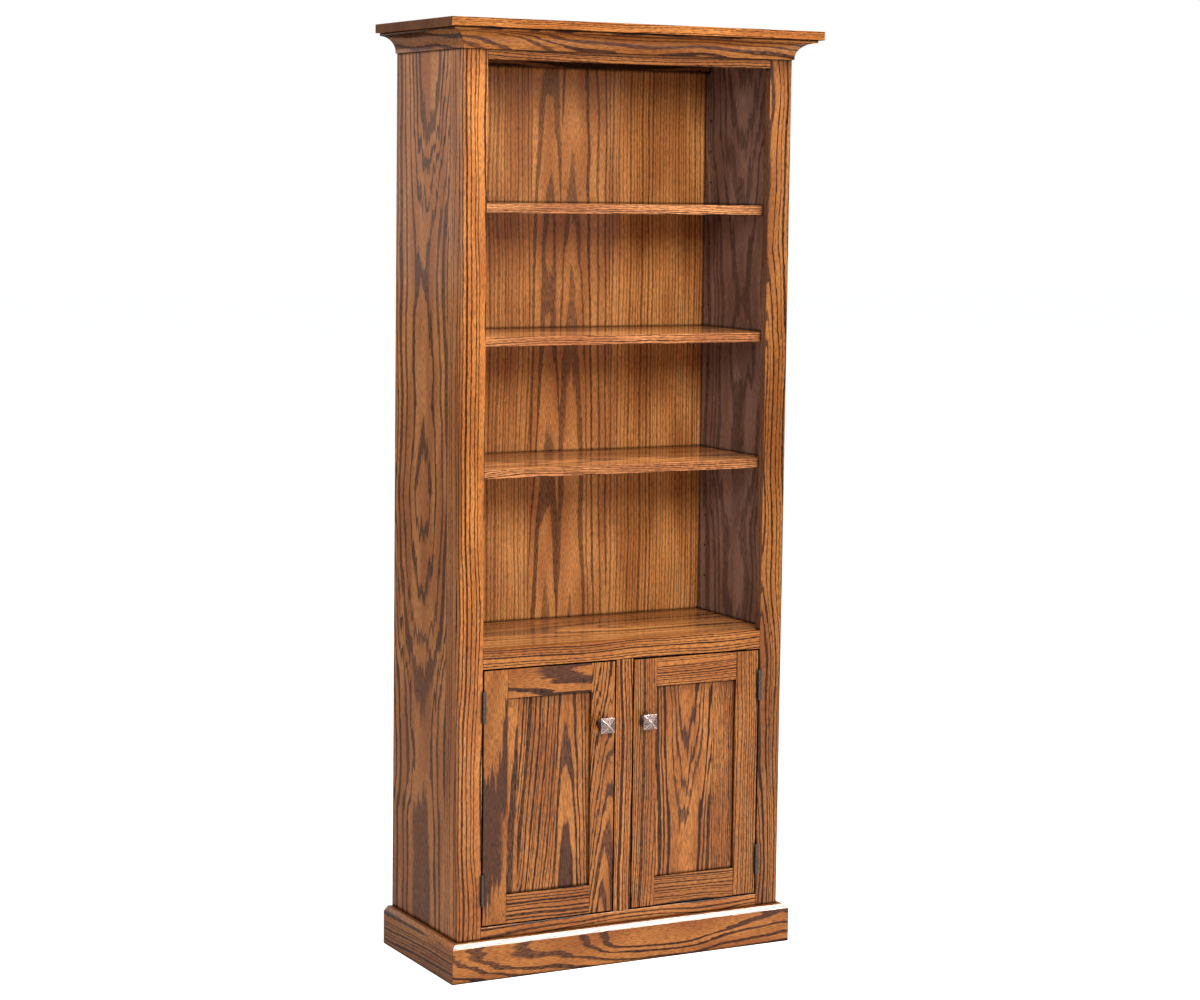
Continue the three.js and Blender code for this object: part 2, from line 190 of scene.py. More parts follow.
KNOB_HALF = 15.0
KNOB_BAND = 3.5
KNOB_PYRAMID = 8.0
KNOB_NECK = 18.0
KNOB_GRID = 28
KNOB_RIDGE = 1.1
KNOB_DIMPLE = 0.35
KNOB_DIMPLE_PITCH = 4.2
KNOB_DIMPLE_SLOPE = 1.6
KNOB_EASE = 0.6
KNOB_BORE = (2.3, 9.3)
KNOB_SPOT = 1.4
KNOB_SEEDS = {"left": 3.7, "right": 8.2}
NECK_TURNING = [(12.5, 0.0), (12.5, 1.6), (9.0, 3.0), (7.0, 6.5), (6.6, 12.0), (9.5, 17.6)]
NECK_SOFTNESS = 1.6

# Wear of the plating: on ridges and rims, on the head's faces, and on the neck
WEAR_RIDGE = 0.45
WEAR_FACET = 0.34
WEAR_NECK = -0.1
WEAR_CONTRAST = 2.2

SCREW_SHANK_RADIUS = 2.0
SCREW_HEAD = (4.0, 2.4)

STUD_RADIUS = 2.25
STUD_REACH = 8.25
COLLAR_RADIUS = 4.0
COLLAR_THICKNESS = 1.0
PIN_SOFTNESS = 0.35
PADDLE_REACH = 11.0
PADDLE_HALF = 4.0
PADDLE_THICKNESS = 2.5
THIN_EASE = 0.3

CATCH_EASE = 0.6
CATCH_ARM_FRONT = 1.45
POLE_OUT = 27.0
POLE_UP = 3.6
POLE_HALF = Vector((7.0, 0.5, 1.3))
SLOT_OUT = 10.0
SLOT_HALF = Vector((1.7, 2.0, 4.5))
STRIKE_CORNER = 2.5
STRIKE_SCREW_RADIUS = 3.2
STRIKE_SCREW_GROOVE = 0.4
STRIKE_CROSS_REACH = 3.4

CASE_FRONT = 132.75
CASE_HALF = 356.0
COVE_STEPS = 40
CROWN_LIP = 5.0
CROWN_FOOT = 3.0
CROWN_FOOT_REACH = 4.0
CROWN_SEAM = 0.5


def srgb(color):
    """sRGB bytes to the linear colour, with alpha, that a shader socket takes."""
    values = [byte / 255 for byte in color]
    linear = [value / 12.92 if value <= 0.04045 else ((value + 0.055) / 1.055) ** 2.4 for value in values]
    return (*linear, 1.0)


class Shader:
    """Short calls for building a node tree, which starts empty."""

    def __init__(self, tree):
        self.tree = tree
        tree.nodes.clear()

    def feed(self, socket, value):
        if isinstance(value, bpy.types.NodeSocket):
            self.tree.links.new(value, socket)
        else:
            socket.default_value = value

    def add(self, kind, inputs=None, **settings):
        node = self.tree.nodes.new(kind)
        for key, value in settings.items():
            setattr(node, key, value)
        for key, value in (inputs or {}).items():
            self.feed(node.inputs[key], value)
        return node

    def math(self, operation, *values):
        return self.add("ShaderNodeMath", dict(enumerate(values)), operation=operation).outputs[0]

    def centred(self, value):
        """A value from 0 to 1 as one from -0.5 to 0.5."""
        return self.math("SUBTRACT", value, 0.5)

    def vector(self, operation, *values):
        node = self.add("ShaderNodeVectorMath", dict(enumerate(values)), operation=operation)
        return node.outputs["Value" if operation == "LENGTH" else "Vector"]

    def split(self, vector):
        return self.add("ShaderNodeSeparateXYZ", {0: vector}).outputs

    def join(self, x, y, z):
        return self.add("ShaderNodeCombineXYZ", {0: x, 1: y, 2: z}).outputs[0]

    def object_place(self, pitch):
        """The place on the object, counted in pitches."""
        place = self.add("ShaderNodeTexCoord").outputs["Object"]
        return self.add("ShaderNodeVectorMath", {0: place, "Scale": 1 / pitch}, operation="SCALE").outputs[0]

    def noise(self, place, detail=2.0, roughness=0.5, dimensions="3D"):
        inputs = {"Scale": 1.0, "Detail": detail, "Roughness": roughness}
        inputs["W" if dimensions == "1D" else "Vector"] = place
        return self.add("ShaderNodeTexNoise", inputs, noise_dimensions=dimensions).outputs

    def smooth(self, value, low, high, out_low=0.0, out_high=1.0):
        inputs = {"Value": value, "From Min": low, "From Max": high, "To Min": out_low, "To Max": out_high}
        return self.add("ShaderNodeMapRange", inputs, interpolation_type="SMOOTHSTEP").outputs[0]

    def mix(self, factor, a, b):
        return self.add("ShaderNodeMix", {0: factor, 6: a, 7: b}, data_type="RGBA").outputs[2]

    def blend(self, factor, a, b):
        return self.add("ShaderNodeMix", {0: factor, 2: a, 3: b}, data_type="FLOAT").outputs[0]

    def bump(self, height, strength, distance):
        inputs = {"Strength": strength, "Distance": distance, "Height": height}
        return self.add("ShaderNodeBump", inputs).outputs[0]

    def surface(self, color, roughness, normal, more):
        """Ends the tree with a surface. more gives further values of its shader."""
        inputs = {"Base Color": color, "Roughness": roughness, "Normal": normal, **more}
        self.end_with(self.add("ShaderNodeBsdfPrincipled", inputs))

    def end_with(self, node, output="ShaderNodeOutputMaterial"):
        self.add(output, {"Surface": node.outputs[0]})


def new_material(name):
    material = bpy.data.materials.new(name)
    material.use_nodes = True
    return material, Shader(material.node_tree)


def new_group(name, inputs, outputs):
    """A node group with the sockets given as {name: socket type}."""
    tree = bpy.data.node_groups.new(name, "ShaderNodeTree")
    for direction, sockets in (("INPUT", inputs), ("OUTPUT", outputs)):
        for label, kind in sockets.items():
            tree.interface.new_socket(label, in_out=direction, socket_type=f"NodeSocket{kind}")
    shader = Shader(tree)
    return shader, shader.add("NodeGroupInput").outputs, shader.add("NodeGroupOutput")


# What a cut's figure is where its board doesn't say otherwise, in millimetres, and slopes per 100 mm
FIGURE = {
    "Pith": 60.0,
    "Slope": 0.0,
    "Bow": 0.0,
    "Lean": 0.0,
    "Heave": 30.0,
    "Wander": 20.0,
    "Spacing": 6.0,
    "Flame": 80.0,
    "Tongue": 9.0,
    "Rag": 1.0,
    "Strength": 1.0,
}


def build_oak():
    """Oak as it grows: rings round a wandering pith, cut by the board's faces.

    Place is across, depth and along the board in millimetres from where the pith lies nearest. Rings that
    the face cuts at a slant spread into arches and islands, and those it cuts square stay fine lines.
    """
    inputs = {"Place": "Vector", "Facing": "Vector"}
    inputs |= dict.fromkeys((*FIGURE, "Seed", "Grey"), "Float")
    inputs["Shade"] = "Vector"
    outputs = {"Color": "Color", "Roughness": "Float", "Height": "Float"}
    shader, given, result = new_group("oak", inputs, outputs)
    times = partial(shader.math, "MULTIPLY")
    scale_add = partial(shader.math, "MULTIPLY_ADD")
    across, depth, straight = shader.split(given["Place"])
    seed = given["Seed"]

    def stretched(scales, along=straight):
        """Where to read a noise that is drawn out along the grain."""
        return shader.join(
            scale_add(across, scales[0], seed),
            times(depth, scales[0]),
            times(along, scales[1]),
        )

    # Fibres run ahead of each other or lag, which draws slanting cuts out into flames
    flame_at = shader.join(
        shader.math("ADD", shader.math("DIVIDE", across, given["Tongue"]), seed),
        shader.math("DIVIDE", depth, given["Tongue"]),
        times(straight, FLAME_SCALE),
    )
    flame = shader.centred(shader.noise(flame_at)["Fac"])
    along = scale_add(flame, given["Flame"], straight)

    # The pith wanders sideways and up and down along the trunk
    drift_at = scale_add(along, DRIFT_SCALE, seed)
    drift = shader.noise(drift_at, roughness=DRIFT_ROUGHNESS, dimensions="1D")["Color"]
    drift_side, drift_depth, _ = shader.split(drift)
    run = times(along, RUN)
    upright = shader.math("SUBTRACT", across, times(run, given["Lean"]))
    side = scale_add(shader.centred(drift_side), given["Wander"], upright)
    taper = times(run, given["Slope"])
    bow = scale_add(times(run, run), given["Bow"], taper)
    lift = scale_add(shader.centred(drift_depth), given["Heave"], given["Pith"])
    under = shader.math("ADD", shader.math("ADD", depth, lift), bow)
    radius = shader.vector("LENGTH", shader.join(side, under, 0.0))

    # Waves of a hand's width, then ragged edges drawn out along the grain
    swell = shader.centred(shader.noise(stretched(SWELL_SCALES, along), detail=3.0)["Fac"])
    radius = scale_add(swell, SWELL, radius)
    rag = shader.noise(stretched(RAG_SCALES), detail=3.0, roughness=RAG_ROUGHNESS)["Fac"]
    radius = scale_add(shader.centred(rag), given["Rag"], radius)

    # Years are unequal, and so is each year's share of open early wood
    rings = shader.math("DIVIDE", radius, given["Spacing"])
    uneven_at = scale_add(rings, YEAR_SCALE, seed)
    uneven = shader.noise(uneven_at, detail=1.0, dimensions="1D")["Fac"]
    rings = scale_add(uneven, YEAR_SHIFT, rings)
    part = shader.math("FRACT", rings)
    year = shader.math("ADD", shader.math("FLOOR", rings), seed)
    chance = shader.add("ShaderNodeTexWhiteNoise", {"W": year}, noise_dimensions="1D").outputs
    early = scale_add(chance["Value"], EARLY_SPREAD, EARLY_LEAST)
    late_start = shader.math("ADD", early, EARLY_FADE)
    fade = shader.smooth(part, early, late_start, 1.0, 0.0)
    band = times(fade, shader.smooth(part, 0.0, EARLY_ONSET))
    steep = shader.smooth(shader.math("DIVIDE", shader.math("ABSOLUTE", side), radius), *STEEP_RANGE)

    # Open pores, dense in the early wood, and the ray flecks between them
    pore_at = stretched(PORE_SCALES)
    pore = shader.smooth(shader.noise(pore_at, detail=1.0)["Fac"], *PORE_RANGE)
    fleck = shader.smooth(shader.noise(pore_at, detail=1.0, roughness=RAG_ROUGHNESS)["Fac"], *FLECK_RANGE)

    # Colour: the stain takes in the early wood and in every pore
    tone = shader.smooth(shader.noise(stretched(TONE_SCALES))["Fac"], *TONE_RANGE)
    ground = shader.mix(tone, srgb(OAK_LIGHT), srgb(OAK_AMBER))
    flecked = times(fleck, times(given["Strength"], FLECK_STAIN))
    ground = shader.mix(flecked, ground, srgb(OAK_DARK))
    ground = shader.mix(times(pore, PORE_STAIN), ground, srgb(OAK_DARK))
    dark = shader.mix(steep, srgb(OAK_BROWN), srgb(OAK_DARK))
    soaked = times(pore, scale_add(steep, SOAK_STEEP, SOAK_LEAST))
    dark = shader.mix(soaked, dark, srgb(OAK_PORE))
    cover = scale_add(shader.split(chance["Color"])[1], COVER_SPREAD, COVER_LEAST)
    cover = scale_add(pore, COVER_PORE, cover)
    cover = times(cover, given["Strength"])
    color = shader.mix(times(band, cover), ground, dark)
    end = shader.smooth(shader.math("ABSOLUTE", shader.split(given["Facing"])[2]), *END_RANGE)
    color = shader.mix(times(end, END_STAIN), color, srgb(OAK_END))
    plain = shader.add("ShaderNodeRGBToBW", {0: color}).outputs[0]
    color = shader.mix(given["Grey"], color, plain)
    shader.feed(result.inputs["Color"], shader.vector("MULTIPLY", color, given["Shade"]))

    open_grain = times(pore, band)
    roughness = scale_add(open_grain, OAK_PORE_ROUGHNESS, OAK_ROUGHNESS)
    shader.feed(result.inputs["Roughness"], roughness)
    height = shader.math("SUBTRACT", 1.0, open_grain)
    shader.feed(result.inputs["Height"], scale_add(fleck, FLECK_DEPTH, height))
    return shader.tree


OAK = build_oak()


def figure(seed, at, until=None, **own):
    """One board's cut through its log. at is the pith's place across and along the board, in millimetres,
    and until is where, across a glued-up panel, the next board starts. own has values for FIGURE's names."""
    cut = {name: own.pop(name.lower(), usual) for name, usual in FIGURE.items()}
    if own:
        raise ValueError(own)
    return {"Seed": seed, "at": at, "until": until, **cut}


def oak_material(name, order, face, figures, grey=0.0, shade=(1.0, 1.0, 1.0), coat=COAT, inner=None):
    """Stained oak, with painted shade in its crevices. order names the axes across, into and along the board, such
    as "xyz", and face is where the seen face lies on the second of them, in millimetres. grey and shade are how
    much greyer than other boards it is and what its colour is multiplied by, and inner gives the painted shade of
    the face that looks into the case, with the direction along X in which it looks."""
    material, shader = new_material(name)
    position = shader.split(shader.object_place(MM))
    normal = shader.split(shader.add("ShaderNodeTexCoord").outputs["Normal"])
    place = [position["xyz".index(axis)] for axis in order]
    facing = shader.join(*[normal["xyz".index(axis)] for axis in order])
    inward = 1.0 if face < 0 else -1.0
    # Painted shade: the face that looks into the case takes the greyer, darker tone given in inner
    if inner is not None:
        painted_shade_face = shader.math("GREATER_THAN", shader.math("MULTIPLY", normal[0], inner["direction"]), 0.5)
        grey = shader.blend(painted_shade_face, grey, inner["grey"])
        shade = shader.mix(painted_shade_face, (*shade, 1.0), (*inner["shade"], 1.0))
        figures = [
            {**cut, "Strength": shader.blend(painted_shade_face, cut["Strength"], inner["strength"])} for cut in figures
        ]

    color = roughness = height = edge = None
    for cut in figures:
        centre, start = cut["at"]
        spot = shader.join(
            shader.math("SUBTRACT", place[0], centre),
            shader.math("MULTIPLY_ADD", place[1], inward, -inward * face),
            shader.math("SUBTRACT", place[2], start),
        )
        group = shader.add("ShaderNodeGroup", node_tree=OAK)
        values = {"Place": spot, "Facing": facing, "Grey": grey, "Shade": shade, **cut}
        for label, socket in group.inputs.items():
            shader.feed(socket, values[label])
        found = group.outputs
        if edge is None:
            color, roughness, height = found["Color"], found["Roughness"], found["Height"]
        else:
            past = shader.math("GREATER_THAN", place[0], edge)
            color = shader.mix(past, color, found["Color"])
            roughness = shader.blend(past, roughness, found["Roughness"])
            height = shader.blend(past, height, found["Height"])
        edge = cut["until"]

    # Painted shade: near other surfaces, in gaps, corners and recesses, ambient occlusion darkens the oak towards
    # a near-black and takes its coat away
    open_sky = shader.add("ShaderNodeAmbientOcclusion", {"Distance": CREVICE}, samples=4).outputs["AO"]
    crevice_shade = shader.smooth(open_sky, *CREVICE_SHADE_RANGE, 1.0, 0.0)
    color = shader.mix(crevice_shade, color, srgb(PAINTED_CREVICE_SHADE))
    lacquer = {
        "Specular IOR Level": 0.0,
        "Coat Weight": shader.blend(crevice_shade, coat, 0.0),
        "Coat Roughness": COAT_ROUGHNESS,
        "Coat Normal": shader.bump(height, COAT_BUMP, OAK_BUMP_DISTANCE),
    }
    shader.surface(color, roughness, shader.bump(height, OAK_BUMP, OAK_BUMP_DISTANCE), lacquer)
    return material


BODIES = {node: body for body, nodes in frame["record"]["behaviour"]["bodies"].items() for node in nodes}
SLOTS = {row["node"]: row["material_slot"] for row in frame["record"]["subparts"]}
SIDES = {"left": -1, "right": 1}


def box_mm(node):
    """A node's lowest corner, highest corner and middle, in millimetres."""
    low, high = [Vector(corner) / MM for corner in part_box(node)]
    return low, high, (low + high) / 2


def new_object(name, data):
    item = bpy.data.objects.new(name, data)
    bpy.context.scene.collection.objects.link(item)
    return item


def add_piece(node, mesh, materials):
    """A new object that stands for a CAD node and moves with its body. It takes its mesh's name."""
    piece = new_object(mesh.name, mesh)
    for material in materials:
        mesh.materials.append(material)
    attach(piece, BODIES[node])
    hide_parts(node)
    return piece


def outward(shape):
    """Turns a closed shape's faces outwards."""
    bmesh.ops.recalc_face_normals(shape, faces=shape.faces)
    return shape


def mesh_of(shape, name, smooth_below=None):
    """Ends a bmesh as a mesh. Edges flatter than smooth_below degrees are shaded round."""
    outward(shape)
    mesh = bpy.data.meshes.new(name)
    if smooth_below is not None:
        limit = math.radians(smooth_below)
        for face in shape.faces:
            face.smooth = True
        for edge in shape.edges:
            edge.smooth = len(edge.link_faces) == 2 and edge.calc_face_angle(math.pi) < limit
    shape.to_mesh(mesh)
    shape.free()
    return mesh


def cleaned_copy(node):
    """A node's solid as a bmesh with welded corners and its flat faces whole again."""
    shape = bmesh.new()
    shape.from_mesh(frame["nodes"][node].data)
    bmesh.ops.remove_doubles(shape, verts=shape.verts, dist=WELD * MM)
    bmesh.ops.dissolve_limit(
        shape, angle_limit=math.radians(0.5), verts=shape.verts, edges=shape.edges, delimit=set()
    )
    return shape


def ease_arrises(shape, amount, segments=3, sharper_than=30.0):
    limit = math.radians(sharper_than)
    sharp = [edge for edge in shape.edges if edge.calc_face_angle(0.0) > limit]
    bmesh.ops.bevel(
        shape, geom=sharp, offset=amount, segments=segments, profile=0.5, affect="EDGES", clamp_overlap=True
    )


def eased_board(node, ease, materials):
    """A board with eased arrises. A second material covers its front edge."""
    shape = cleaned_copy(node)
    ease_arrises(shape, ease)
    mesh = mesh_of(shape, f"{node}_eased")
    if len(materials) > 1:
        for polygon in mesh.polygons:
            if polygon.normal.y < -0.5:
                polygon.material_index = 1
    return add_piece(node, mesh, materials)


def lathe(profile, sides=ROUND_SIDES, loop=False):
    """A shape turned about Z from [radius, height] points, which start and end on the axis or else loop."""
    shape = bmesh.new()
    rings = []
    for radius, height in profile:
        ring = []
        for i in range(sides if radius > 0 else 1):
            angle = 2 * math.pi * i / sides
            ring.append(shape.verts.new((radius * math.cos(angle), radius * math.sin(angle), height)))
        rings.append(ring)
    pairs = list(zip(rings, rings[1:]))
    if loop:
        pairs.append((rings[-1], rings[0]))
    for lower, upper in pairs:
        for i in range(sides):
            j = (i + 1) % sides
            corners = [lower[i % len(lower)], lower[j % len(lower)]]
            corners += [upper[j % len(upper)], upper[i % len(upper)]]
            shape.faces.new(list(dict.fromkeys(corners)))
    return outward(shape)


def softened(points, reach, steps=4, loop=False):
    """A polyline whose corners are rounded over the given reach. Its ends stay sharp, unless it loops."""
    points = [Vector(point) for point in points]
    smooth = []
    for i, point in enumerate(points):
        if not loop and i in (0, len(points) - 1):
            smooth.append(tuple(point))
            continue
        before = points[i - 1] - point
        after = points[(i + 1) % len(points)] - point
        start = point + before.normalized() * min(reach, before.length / 2)
        end = point + after.normalized() * min(reach, after.length / 2)
        for step in range(steps + 1):
            share = step / steps
            smooth.append(tuple(start.lerp(point, share).lerp(point.lerp(end, share), share)))
    return smooth


def slab(outline, low, high):
    """A plate from a flat outline, lying between two heights."""
    shape = bmesh.new()
    bottom = shape.faces.new([shape.verts.new((*point[:2], low)) for point in outline])
    grown = bmesh.ops.extrude_face_region(shape, geom=[bottom])["geom"]
    top = [item for item in grown if isinstance(item, bmesh.types.BMVert)]
    bmesh.ops.translate(shape, vec=(0, 0, high - low), verts=top)
    return outward(shape)


def rectangle(low, high):
    return [(low[0], low[1]), (high[0], low[1]), (high[0], high[1]), (low[0], high[1])]


def block(low, high):
    return slab(rectangle(low, high), low[2], high[2])


def shaft_profile(*steps):
    """[radius, height] along a stepped shaft, given as (radius, lower end, upper end) steps."""
    profile = [(0.0, steps[0][1])]
    for radius, low, high in steps:
        profile += [(radius, low), (radius, high)]
    return [*profile, (0.0, steps[-1][2])]


def ring_profile(outer, inner, low, high):
    """[radius, height] round a plain ring."""
    return [(outer, low), (outer, high), (inner, high), (inner, low)]


def moved(shape, matrix):
    bmesh.ops.transform(shape, matrix=matrix, verts=shape.verts)
    return shape


def loose_object(shape, name):
    mesh = bpy.data.meshes.new(name)
    shape.to_mesh(mesh)
    shape.free()
    return new_object(name, mesh)


def combined(shape, operation, others):
    """Unites other shapes with this one, or takes them out of it, so that one closed surface is left."""
    target = loose_object(shape, "target")
    tools = [loose_object(other, "tool") for other in others]
    for tool in tools:
        modifier = target.modifiers.new("combine", "BOOLEAN")
        modifier.operation = operation
        modifier.solver = "EXACT"
        modifier.object = tool
    depsgraph = bpy.context.evaluated_depsgraph_get()
    result = bmesh.new()
    result.from_object(target, depsgraph)
    for loose in [target, *tools]:
        mesh = loose.data
        bpy.data.objects.remove(loose)
        bpy.data.meshes.remove(mesh)
    bmesh.ops.remove_doubles(result, verts=result.verts, dist=WELD)
    return result


def cross_cutter(width, length, depth, matrix):
    """The recess of a cross-head screw, which reaches depth below the surface at z = 0."""
    near, far = width / 2, length / 2
    outline = []
    for turn in range(4):
        cosine = math.cos(turn * math.pi / 2)
        sine = math.sin(turn * math.pi / 2)
        for x, y in ((near, -near), (far, -near), (far, near)):
            outline.append((x * cosine - y * sine, x * sine + y * cosine))
    return moved(slab(outline, -depth, 2 * depth), matrix)


# Figures that several boards share
LEFT_DOOR_FLAME = {
    "seed": 101.7,
    "at": (-290, 266),
    "pith": 126,
    "slope": -3.0,
    "heave": 14,
    "wander": 14,
    "spacing": 11,
    "flame": 230,
    "tongue": 7,
    "rag": 1.2,
}
SIDE_FLAME = {
    "pith": 130,
    "slope": -4,
    "heave": 60,
    "wander": 60,
    "spacing": 13,
    "flame": 150,
    "tongue": 14,
    "rag": 0.8,
    "strength": 0.84,
}
SHELF_FLAME = {"pith": 90, "spacing": 10, "flame": 200, "tongue": 16}
MOULDING_FLAME = {"flame": 70, "tongue": 12, "rag": 0.8}
BACK_FLAME = {"slope": 2.2, "heave": 8, "wander": 8, "spacing": 10, "flame": 120, "strength": 0.75}

# Boards: the axes across, into and along each, the seen face in millimetres, and the cuts through the log
FRONT = -CASE_FRONT
SHELF_FRONT = -110.0
BOARDS = {
    "top_board": ("zyx", -179.25, [figure(3.1, (1740, 0), spacing=2.2, heave=10, wander=14)]),
    "crown_front": (
        "zyx",
        -136.0,
        [figure(212.4, (1796, -157), pith=70, slope=-5, heave=60, wander=30, spacing=9, **MOULDING_FLAME)],
    ),
    "crown_left": ("zxy", -360.0, [figure(4.2, (1786, -60), pith=30, bow=1.0, spacing=9)]),
    "crown_right": ("zxy", 360.0, [figure(9.7, (1786, 40), pith=30, bow=1.0, spacing=9)]),
    "base_front": (
        "zyx",
        -151.75,
        [figure(221.3, (62, -190), pith=90, slope=-4, heave=80, wander=50, spacing=8, **MOULDING_FLAME)],
    ),
    "base_left": ("zxy", -375.0, [figure(33.9, (76, 40), pith=28, bow=1.0)]),
    "base_right": ("zxy", 375.0, [figure(38.1, (20, -20), pith=28, bow=1.0)]),
    "stile_left": ("xyz", FRONT, [figure(41.0, (-265, 900), pith=45, wander=14, spacing=7.5, flame=60)]),
    "stile_right": ("xyz", FRONT, [figure(47.2, (290, 60), pith=40, slope=2.0, wander=30, spacing=5.0)]),
    "rail_top": ("zyx", FRONT, [figure(53.5, (1690, 0), pith=70, heave=10, wander=12, spacing=3.0)]),
    "rail_middle": ("zyx", FRONT, [figure(57.7, (560, 0), pith=30, spacing=5.5)]),
    "rail_bottom": ("zyx", FRONT, [figure(61.8, (60, 120), pith=30, bow=0.4, spacing=7)]),
    "centre_post": ("xyz", FRONT, [figure(66.1, (60, 350), pith=40, spacing=5)]),
    "shelf_lower": ("yzx", 982.75, [figure(71.3, (-20, 0), slope=3, **SHELF_FLAME)]),
    "shelf_middle": ("yzx", 1234.75, [figure(77.9, (60, 80), slope=-3, **SHELF_FLAME)]),
    "shelf_upper": ("yzx", 1486.75, [figure(82.4, (10, -40), slope=3, **SHELF_FLAME)]),
    "door_left_hinge_stile": ("xyz", FRONT, [figure(**LEFT_DOOR_FLAME)]),
    "door_left_lock_stile": (
        "xyz", FRONT, [figure(304.9, (-40, 190), pith=28, slope=5, lean=9, heave=10, spacing=5.5)]
    ),
    "door_left_rail_lower": ("zyx", FRONT, [figure(109.2, (70, -160), pith=40, heave=12, wander=10)]),
    "door_left_rail_upper": (
        "zyx", FRONT, [figure(113.4, (590, -60), slope=-5, heave=16, spacing=12, flame=160)]
    ),
    "door_right_hinge_stile": ("xyz", FRONT, [figure(118.6, (225, 350), pith=34, heave=14, spacing=5)]),
    "door_right_lock_stile": ("xyz", FRONT, [figure(121.1, (90, 350), pith=40, heave=18, spacing=4)]),
    "door_right_rail_lower": ("zyx", FRONT, [figure(127.5, (96, 170), pith=20, bow=2, heave=18, spacing=5)]),
    "door_right_rail_upper": ("zyx", FRONT, [figure(131.8, (640, 160), pith=80, heave=10, spacing=3)]),
}

# Strips of solid oak along the front edges of the veneered shelves
EDGINGS = {
    name: ("zyx", SHELF_FRONT, [figure(seed, (height, 0), pith=70, heave=10, spacing=2.6)])
    for name, seed, height in (
        ("shelf_lower", 84.1, 910),
        ("shelf_middle", 86.5, 1160),
        ("shelf_upper", 88.8, 1410),
    )
}

# Boards that keep their CAD shape
PLAIN_BOARDS = {
    "side_left": (
        "yxz",
        -CASE_HALF,
        [
            figure(141.2, (-180, 900), -70, heave=20, spacing=9, flame=60, strength=0.84),
            figure(243.9, (40, 1000), **SIDE_FLAME),
        ],
    ),
    "side_right": ("yxz", CASE_HALF, [figure(543.9, (20, 1000), **SIDE_FLAME)]),
    "sub_top": ("yzx", 1793.0, [figure(151.0, (0, 0))]),
    "fixed_shelf": ("yzx", 639.0, [figure(156.3, (30, 60), slope=-3, **SHELF_FLAME)]),
    "cupboard_floor": ("yzx", 99.5, [figure(161.9, (0, 0))]),
    "back_panel": (
        "xyz",
        173.25,
        [
            figure(166.6, (-210, 900), -62, heave=14, spacing=6.5, strength=0.58),
            figure(167.4, (-22, 1000), 4, pith=46, **BACK_FLAME),
            figure(168.2, (32, 1000), 118, pith=52, **BACK_FLAME),
            figure(169.9, (60, 900), heave=8, wander=12, spacing=6.5, flame=60, strength=0.62),
        ],
    ),
    "top_nailer": ("zyx", 154.0, [figure(171.4, (1790, 0), spacing=5)]),
    "door_left_panel": (
        "xyz",
        -129.4,
        [
            figure(until=-228, **LEFT_DOOR_FLAME),
            figure(181.5, (-305, 260), -146, pith=40, slope=-3, lean=8, heave=16, spacing=6.2, flame=70),
            figure(586.0, (-122, 130), pith=26, slope=2.4, heave=8, wander=8, spacing=7, flame=60, rag=0.9),
        ],
    ),
    "door_right_panel": (
        "xyz",
        -129.4,
        [
            figure(391.5, (142, 480), 203, pith=50, slope=-6, heave=40, wander=26, flame=140, rag=1.2),
            figure(396.5, (330, 350), heave=8, wander=8, spacing=3.4, flame=40, rag=2.6),
        ],
    ),
}


def shaded(level, tint=(1.0, 1.0, 1.0)):
    return tuple(level * channel for channel in tint)


# Some boards are greyer, darker or more polished than the rest. Painted shade makes the inner walls and the
# stiles' inner faces greyer and darker, and the nailer darker; painted light makes the back panel and shelves
# lighter and olive
# Painted light: an olive tint that stands in for the cooler light inside the bays
BAY_LIGHT_TINT = (0.98, 1.06, 0.93)
SIDE_TONE = {"grey": 0.08, "shade": shaded(0.85)}
# Painted shade: the sides' inner walls are greyer, darker and weaker in figure, as in the dim light inside the
# case
WALL_PAINTED_SHADE = {"grey": 0.66, "shade": shaded(0.94), "strength": 0.58}
# Painted shade: the stiles' inner faces, seen in the openings, are darkened and greyed
REVEAL_PAINTED_SHADE = {"grey": 0.3, "shade": shaded(0.42), "strength": 0.8}
# Painted light: the shelves are lightened and tinted as by the light that falls on their tops
SHELF_PAINTED_LIGHT = {"grey": 0.1, "shade": shaded(1.45, BAY_LIGHT_TINT), "coat": 0.9}
EDGING_TONE = {"grey": 0.12, "shade": shaded(1.06)}
RETURN_TONE = {"grey": 0.1, "shade": shaded(0.62)}
BASE_RETURN_TONE = {"grey": 0.05, "shade": shaded(0.7)}
TONES = {
    "top_board": {"shade": shaded(0.9), "coat": 0.12},
    "crown_left": RETURN_TONE,
    "crown_right": RETURN_TONE,
    "base_left": BASE_RETURN_TONE,
    "base_right": BASE_RETURN_TONE,
    "side_left": {**SIDE_TONE, "inner": {**WALL_PAINTED_SHADE, "direction": 1.0}},
    "side_right": {**SIDE_TONE, "inner": {**WALL_PAINTED_SHADE, "direction": -1.0}},
    # Painted light: the back panel is lightened and tinted as by the light that reaches into the bays
    "back_panel": {"grey": 0.1, "shade": shaded(1.34, BAY_LIGHT_TINT)},
    # Painted shade: the nailer is darkened as in the shade under the top
    "top_nailer": {"grey": 0.1, "shade": shaded(0.4)},
    "stile_left": {"shade": shaded(0.92), "inner": {**REVEAL_PAINTED_SHADE, "direction": 1.0}},
    "stile_right": {"shade": shaded(0.56), "inner": {**REVEAL_PAINTED_SHADE, "direction": -1.0}},
    **dict.fromkeys(EDGINGS, SHELF_PAINTED_LIGHT),
    # Painted light: the fixed shelf is lightened and tinted as by the light that falls on its top
    "fixed_shelf": {"grey": 0.1, "shade": shaded(1.25, BAY_LIGHT_TINT), "coat": 0.9},
}
